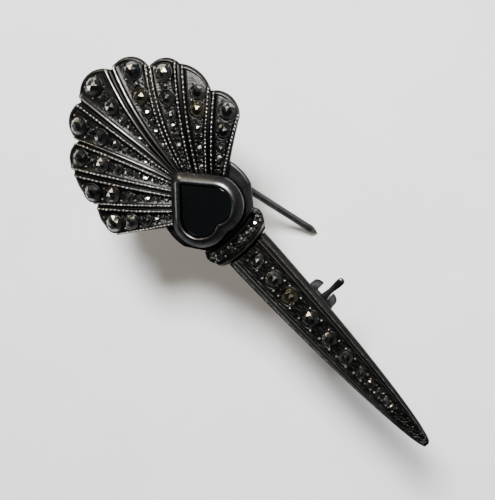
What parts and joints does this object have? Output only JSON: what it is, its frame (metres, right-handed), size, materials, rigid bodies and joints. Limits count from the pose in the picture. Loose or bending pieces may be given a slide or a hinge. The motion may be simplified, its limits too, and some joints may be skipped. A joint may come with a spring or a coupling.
{
  "type": "shell brooch pin",
  "caption": "Domed shell fan brooch with a black heart stone, a tapering stone-set spike, a hinged pin stem and a roll-over safety catch.",
  "frame": {"origin": "centre of the round backing plate's flat back face, which lies on the cloth", "axes": "+Z out of the decorated face, +Y towards the fan's tip, +X across, to the side where the catch's lever points"},
  "size_m": [0.0288, 0.0761, 0.032],
  "materials": {
    "oxidised_silver": "cast silver, blackened in its recesses and rubbed bright on its ridges",
    "polished_silver": "darkened silver with a smooth polish",
    "stem_metal": "smooth hard-drawn wire",
    "marcasite": "faceted pyrite with a metallic lustre",
    "onyx": "flat polished black stone"
  },
  "bodies": {
    "brooch": {"bow_collar": "oxidised_silver", "catch_housing": "oxidised_silver", "collar_marcasite_1": "marcasite", "collar_marcasite_2": "marcasite", "collar_marcasite_3": "marcasite", "collar_marcasite_4": "marcasite", "collar_marcasite_5": "marcasite", "heart_bezel": "polished_silver", "heart_onyx": "onyx", "heart_plate": "oxidised_silver", "hinge_bracket": "oxidised_silver", "hinge_rivet": "stem_metal", "petal_1_marcasite_1": "marcasite", "petal_1_marcasite_2": "marcasite", "petal_1_marcasite_3": "marcasite", "petal_2_marcasite_1": "marcasite", "petal_2_marcasite_2": "marcasite", "petal_2_marcasite_3": "marcasite", "petal_3_marcasite_1": "marcasite", "petal_3_marcasite_2": "marcasite", "petal_3_marcasite_3": "marcasite", "petal_4_marcasite_1": "marcasite", "petal_4_marcasite_2": "marcasite", "petal_4_marcasite_3": "marcasite", "petal_5_marcasite_1": "marcasite", "petal_5_marcasite_2": "marcasite", "petal_5_marcasite_3": "marcasite", "petal_6_marcasite_1": "marcasite", "petal_6_marcasite_2": "marcasite", "petal_6_marcasite_3": "marcasite", "petal_7_marcasite_1": "marcasite", "petal_7_marcasite_2": "marcasite", "petal_7_marcasite_3": "marcasite", "petal_8_marcasite_1": "marcasite", "petal_8_marcasite_2": "marcasite", "petal_8_marcasite_3": "marcasite", "petal_9_marcasite_1": "marcasite", "petal_9_marcasite_2": "marcasite", "petal_9_marcasite_3": "marcasite", "shell_fan": "oxidised_silver", "spike": "oxidised_silver", "spike_marcasite_1": "marcasite", "spike_marcasite_10": "marcasite", "spike_marcasite_11": "marcasite", "spike_marcasite_2": "marcasite", "spike_marcasite_3": "marcasite", "spike_marcasite_4": "marcasite", "spike_marcasite_5": "marcasite", "spike_marcasite_6": "marcasite", "spike_marcasite_7": "marcasite", "spike_marcasite_8": "marcasite", "spike_marcasite_9": "marcasite"},
    "stem": {"pin_stem": "stem_metal"},
    "rotor": {"catch_rotor": "polished_silver"}
  },
  "joints": [
    {"name": "stem_hinge", "type": "hinge", "parent": "brooch", "child": "stem", "pos_m": [0.0012, 0.0124, -0.0031], "axis": [1, 0, 0], "range_deg": [-43, 60]},
    {"name": "catch_turn", "type": "hinge", "parent": "brooch", "child": "rotor", "pos_m": [0.0012, -0.02195, -0.0031], "axis": [0, 1, 0], "range_deg": [0, 105]}
  ]
}
